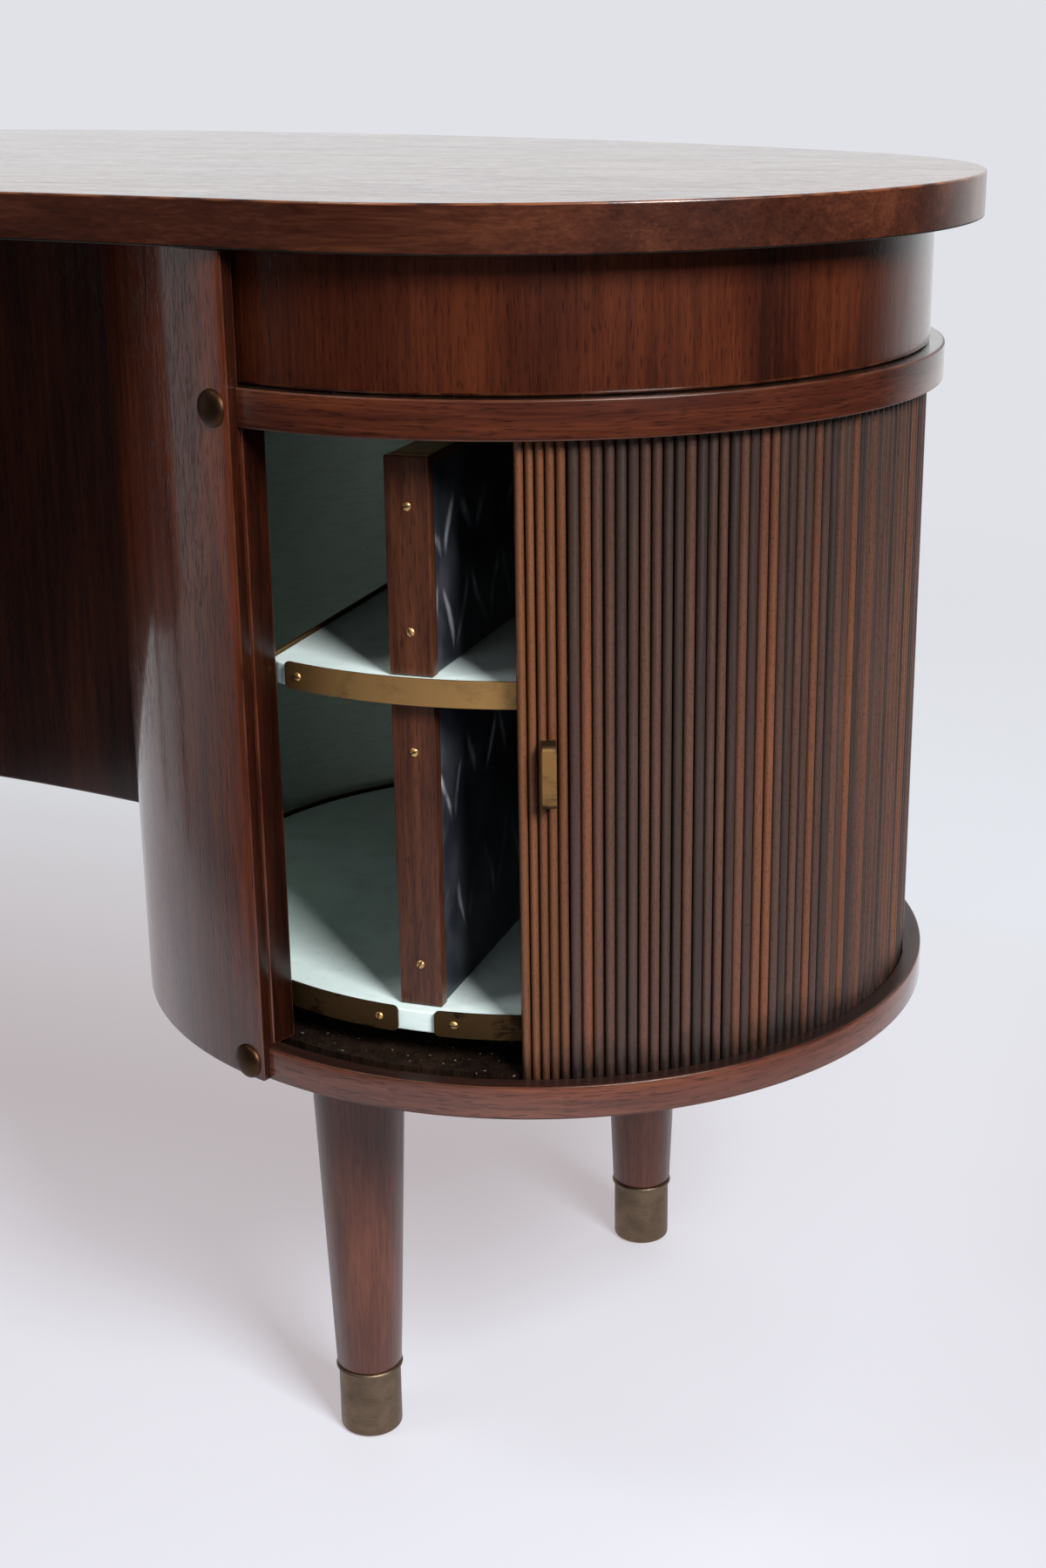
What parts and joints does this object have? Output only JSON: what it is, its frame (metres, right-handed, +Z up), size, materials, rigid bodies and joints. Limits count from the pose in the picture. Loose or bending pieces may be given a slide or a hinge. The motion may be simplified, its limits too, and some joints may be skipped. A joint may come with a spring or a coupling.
{
  "type": "kidney-shaped desk",
  "caption": "Kidney-shaped writing desk: a bowed top on drum pedestals, each with a reeded sliding door round a turning carousel with a lipped shelf.",
  "frame": {"origin": "on the floor, under the middle of the desk's box", "axes": "+X along the desk's length, +Y away from the sitter, +Z up"},
  "size_m": [1.8, 0.7029, 0.745],
  "materials": {
    "mahogany": "glossy red-brown lacquer",
    "dark_mahogany": "dark brown lacquer",
    "reed_wood": "worn satin lacquer",
    "lead_wood": "worn satin lacquer",
    "mint_paint": "brushed pale green-blue paint",
    "navy_laminate": "scuffed dark laminate face",
    "aged_brass": "aged brass",
    "steel": "plain steel"
  },
  "bodies": {
    "carcass": {"desk_top": "mahogany", "modesty_panel": "dark_mahogany", "right_base_plate": "mahogany", "right_ring_plate": "mahogany", "right_side_panel": "mahogany", "right_apron": "mahogany", "right_panel_packer": "dark_mahogany", "right_front_jamb": "mahogany", "right_rear_jamb": "mahogany", "right_liner": "mint_paint", "right_bearing_base": "steel", "right_front_leg": "mahogany", "right_front_ferrule": "aged_brass", "right_back_leg": "mahogany", "right_back_ferrule": "aged_brass", "left_base_plate": "mahogany", "left_ring_plate": "mahogany", "left_side_panel": "mahogany", "left_apron": "mahogany", "left_panel_packer": "dark_mahogany", "left_front_jamb": "mahogany", "left_rear_jamb": "mahogany", "left_liner": "mint_paint", "left_bearing_base": "steel", "left_front_leg": "mahogany", "left_front_ferrule": "aged_brass", "left_back_leg": "mahogany", "left_back_ferrule": "aged_brass"},
    "right_door": {"right_door_lead": "lead_wood", "right_reeded_door": "reed_wood", "right_door_handle": "aged_brass"},
    "right_carousel": {"right_bearing_race": "steel", "right_carousel_disc": "mint_paint", "right_carousel_shelf": "mint_paint", "right_lower_partition": "navy_laminate", "right_upper_partition": "navy_laminate", "right_lower_front_edging": "mahogany", "right_lower_back_edging": "mahogany", "right_upper_front_edging": "mahogany", "right_upper_back_edging": "mahogany", "right_disc_strip_outer": "aged_brass", "right_disc_strip_inner": "aged_brass", "right_shelf_strip": "aged_brass", "right_shelf_edge_strip": "aged_brass"},
    "left_door": {"left_door_lead": "lead_wood", "left_reeded_door": "reed_wood", "left_door_handle": "aged_brass"},
    "left_carousel": {"left_bearing_race": "steel", "left_carousel_disc": "mint_paint", "left_carousel_shelf": "mint_paint", "left_lower_partition": "navy_laminate", "left_upper_partition": "navy_laminate", "left_lower_front_edging": "mahogany", "left_lower_back_edging": "mahogany", "left_upper_front_edging": "mahogany", "left_upper_back_edging": "mahogany", "left_disc_strip_outer": "aged_brass", "left_disc_strip_inner": "aged_brass", "left_shelf_strip": "aged_brass", "left_shelf_edge_strip": "aged_brass"}
  },
  "joints": [
    {"name": "right_door_slide", "type": "hinge", "parent": "carcass", "child": "right_door", "pos_m": [0.648, -0.1091, 0.463], "axis": [0, 0, 1], "range_deg": [-36.5, 125.5]},
    {"name": "right_carousel_turn", "type": "hinge", "parent": "carcass", "child": "right_carousel", "pos_m": [0.648, -0.1091, 0.32], "axis": [0, 0, 1], "continuous": true},
    {"name": "left_door_slide", "type": "hinge", "parent": "carcass", "child": "left_door", "pos_m": [-0.648, -0.1091, 0.463], "axis": [0, 0, -1], "range_deg": [0, 162]},
    {"name": "left_carousel_turn", "type": "hinge", "parent": "carcass", "child": "left_carousel", "pos_m": [-0.648, -0.1091, 0.32], "axis": [0, 0, 1], "continuous": true}
  ]
}
